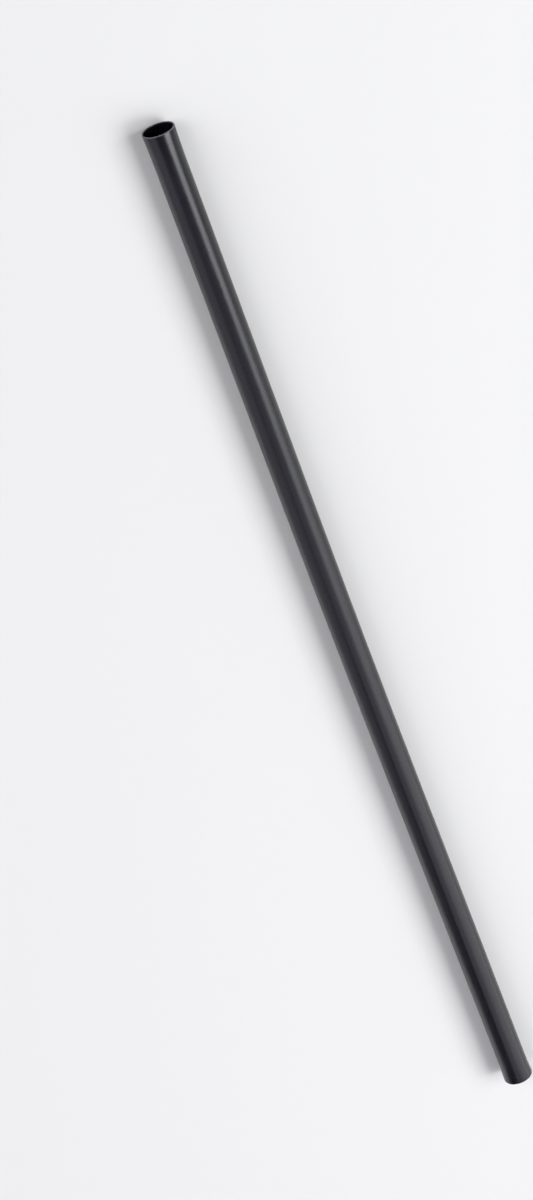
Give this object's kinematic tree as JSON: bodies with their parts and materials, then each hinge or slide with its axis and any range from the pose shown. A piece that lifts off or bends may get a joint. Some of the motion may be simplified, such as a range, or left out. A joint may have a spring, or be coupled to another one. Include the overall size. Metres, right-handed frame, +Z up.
{
  "type": "plastic drinking straw",
  "caption": "Straight drinking straw: a thin-walled satin black plastic tube with slightly oval cut ends.",
  "frame": {"origin": "at the centre of the straw's box, 0.28 mm beside its centre line halfway along it, because the straw bends very slightly", "axes": "+Y from the foot to the drinking end, +Z up as the straw lies on its side, +X level, to the side that both ends lean to and along the wide axis of the oval ends"},
  "size_m": [0.0056, 0.197, 0.005],
  "materials": {
    "straw_plastic": "satin black polypropylene, faint lengthwise extrusion lines"
  },
  "bodies": {
    "root": {"straw_tube": "straw_plastic"}
  },
  "joints": []
}
